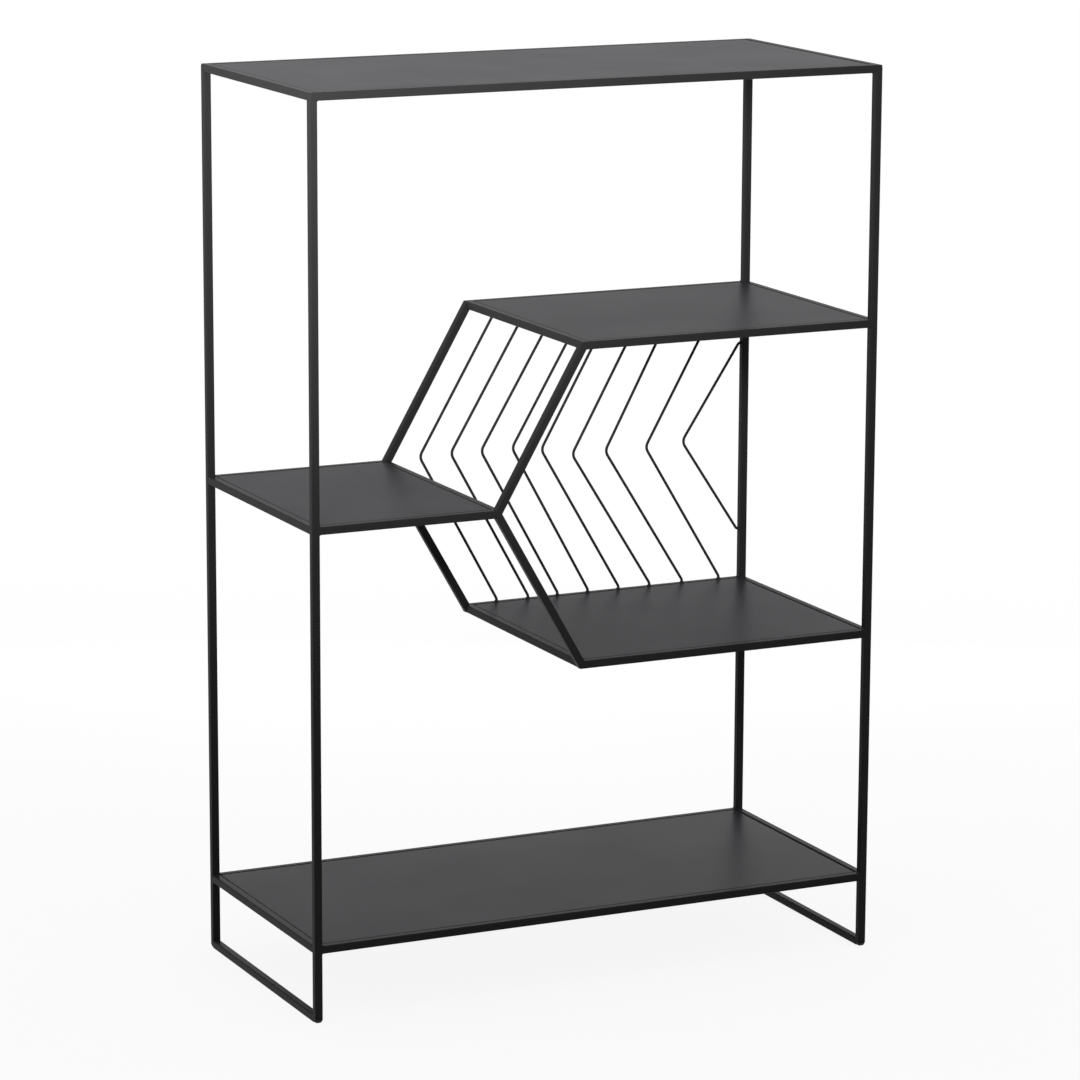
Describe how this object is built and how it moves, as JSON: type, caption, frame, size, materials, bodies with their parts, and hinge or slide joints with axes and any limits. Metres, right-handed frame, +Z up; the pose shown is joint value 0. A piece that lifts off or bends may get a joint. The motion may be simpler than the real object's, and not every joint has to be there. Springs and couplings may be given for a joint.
{
  "type": "zigzag bookshelf",
  "caption": "Open steel bookshelf: a square-tube frame carries full-width and half-width sheet shelves, linked by a pointed zigzag of slanted bars and a fan of bent wires.",
  "frame": {"origin": "on the floor, at the middle of the footprint", "axes": "+Z up, +X to the right seen from the front, +Y from the front to the back where the wires are"},
  "size_m": [0.77, 0.35, 1.14],
  "materials": {
    "frame": "satin",
    "shelf": "satin",
    "wire": "satin",
    "foot": "matte"
  },
  "bodies": {
    "root": {"post_front_left": "frame", "plug_front_left": "foot", "cap_front_left": "frame", "post_front_right": "frame", "plug_front_right": "foot", "cap_front_right": "frame", "post_back_left": "frame", "plug_back_left": "foot", "cap_back_left": "frame", "post_back_right": "frame", "plug_back_right": "foot", "cap_back_right": "frame", "runner_left": "frame", "runner_right": "frame", "top_rail_front": "frame", "top_rail_back": "frame", "top_rail_left": "frame", "top_rail_right": "frame", "top_panel": "shelf", "upper_rail_front": "frame", "upper_rail_back": "frame", "upper_rail_left": "frame", "upper_rail_right": "frame", "upper_panel": "shelf", "middle_rail_front": "frame", "middle_rail_back": "frame", "middle_rail_left": "frame", "middle_rail_right": "frame", "middle_panel": "shelf", "lower_rail_front": "frame", "lower_rail_back": "frame", "lower_rail_left": "frame", "lower_rail_right": "frame", "lower_panel": "shelf", "bottom_rail_front": "frame", "bottom_rail_back": "frame", "bottom_rail_left": "frame", "bottom_rail_right": "frame", "bottom_panel": "shelf", "slant_front_upper": "frame", "slant_front_lower": "frame", "slant_back_upper": "frame", "slant_back_lower": "frame", "wire_1": "wire", "wire_2": "wire", "wire_3": "wire", "wire_4": "wire", "wire_5": "wire", "wire_6": "wire", "wire_7": "wire", "wire_8": "wire", "wire_9": "wire"}
  },
  "joints": []
}
